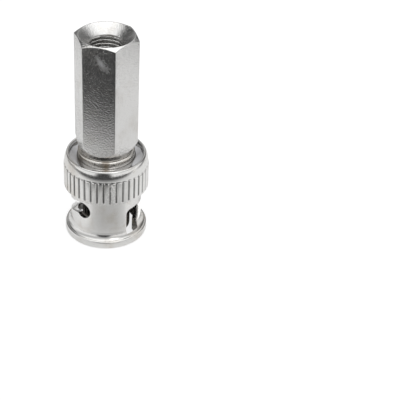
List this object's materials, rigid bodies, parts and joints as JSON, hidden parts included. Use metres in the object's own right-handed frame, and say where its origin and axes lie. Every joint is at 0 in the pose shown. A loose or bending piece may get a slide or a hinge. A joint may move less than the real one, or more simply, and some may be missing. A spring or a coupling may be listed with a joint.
{
  "type": "twist-on bayonet coaxial plug",
  "caption": "Twist-on bayonet coaxial plug with a knurled coupling nut, slotted ferrule, white insulator, gold pin and a hexagonal cable body with a jacket thread.",
  "frame": {"origin": "centre of the mating face, on the surface that the plug stands on", "axes": "+Z along the plug's axis, from the mating face towards the cable entry; +X to the right of the picture"},
  "size_m": [0.0144, 0.0144, 0.0375],
  "materials": {
    "nickel_nut": "nickel plated brass, bright, lightly scratched",
    "nickel_body": "nickel plated brass, bright, lightly scratched",
    "washer_steel": "polished flat washer",
    "spring_steel": "spring strip",
    "contact_gold": "gold plated",
    "insulator_white": "white, slightly waxy",
    "gasket_rubber": "matt black rubber"
  },
  "bodies": {
    "root": {"hex_body": "nickel_body", "front_shell": "nickel_body", "gasket": "gasket_rubber", "insulator": "insulator_white", "rear_insulator": "insulator_white", "centre_pin": "contact_gold", "wave_spring_rear": "spring_steel", "wave_spring_front": "spring_steel"},
    "slip": {"slip_washer": "washer_steel"},
    "nut": {"coupling_nut": "nickel_nut", "retaining_washer": "washer_steel"}
  },
  "joints": [
    {"name": "nut_slide", "type": "slide", "parent": "root", "child": "slip", "axis": [0, 0, -1], "range_m": [0, 0.0006], "stiffness_N_per_m": 12000, "springref_m": -0.0003, "deforming": ["wave_spring_rear", "wave_spring_front"]},
    {"name": "nut_spin", "type": "hinge", "parent": "slip", "child": "nut", "pos_m": [0, 0, 0.012], "axis": [0, 0, 1], "continuous": true}
  ]
}
